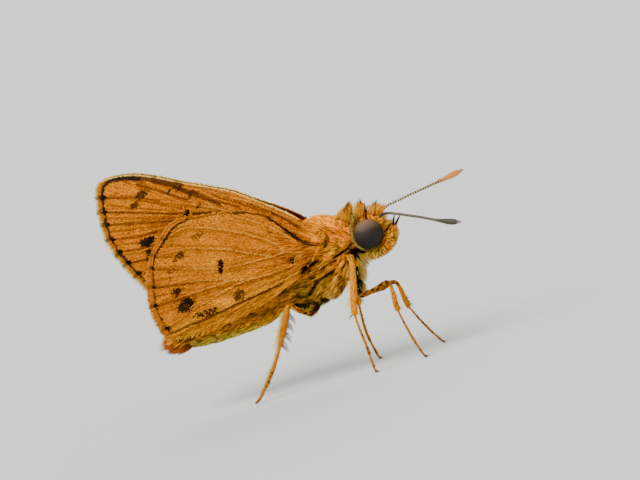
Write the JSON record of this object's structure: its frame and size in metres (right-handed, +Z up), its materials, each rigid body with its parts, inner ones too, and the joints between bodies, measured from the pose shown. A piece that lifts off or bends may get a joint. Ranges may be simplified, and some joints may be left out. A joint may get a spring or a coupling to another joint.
{
  "type": "common dartlet butterfly",
  "caption": "Small orange skipper butterfly standing with closed wings raised over its back and its feelers spread, a still life-size display model.",
  "frame": {"origin": "on the floor under the middle of the model's box", "axes": "+X towards the head, +Y to the animal's left, +Z up"},
  "size_m": [0.0208, 0.0084, 0.0146],
  "materials": {
    "head_fur": "dense upright orange scales",
    "eye": "finely faceted dark cornea",
    "palp_scales": "yellowish brush of scales",
    "antenna": "ringed, finely scaled",
    "body_fur": "orange hair-like scales",
    "abdomen_scales": "flat olive and orange scales",
    "forewing_scales": "matt orange scales with dark marks",
    "hindwing_scales": "matt orange scales with dark marks",
    "leg_scales": "close orange scales"
  },
  "bodies": {
    "root": {"head": "head_fur", "eye_left": "eye", "eye_right": "eye", "palp_left": "palp_scales", "palp_right": "palp_scales", "antenna_left": "antenna", "antenna_right": "antenna", "collar": "body_fur", "thorax": "body_fur", "abdomen": "abdomen_scales", "forewing_left": "forewing_scales", "forewing_right": "forewing_scales", "hindwing_left": "hindwing_scales", "hindwing_right": "hindwing_scales", "foreleg_left_coxa": "leg_scales", "foreleg_left_femur": "leg_scales", "foreleg_left_tibia": "leg_scales", "foreleg_right_coxa": "leg_scales", "foreleg_right_femur": "leg_scales", "foreleg_right_tibia": "leg_scales", "midleg_left_femur": "leg_scales", "midleg_left_tibia": "leg_scales", "midleg_right_femur": "leg_scales", "midleg_right_tibia": "leg_scales", "hindleg_left_femur": "leg_scales", "hindleg_left_tibia": "leg_scales", "hindleg_right_femur": "leg_scales", "hindleg_right_tibia": "leg_scales"}
  },
  "joints": []
}
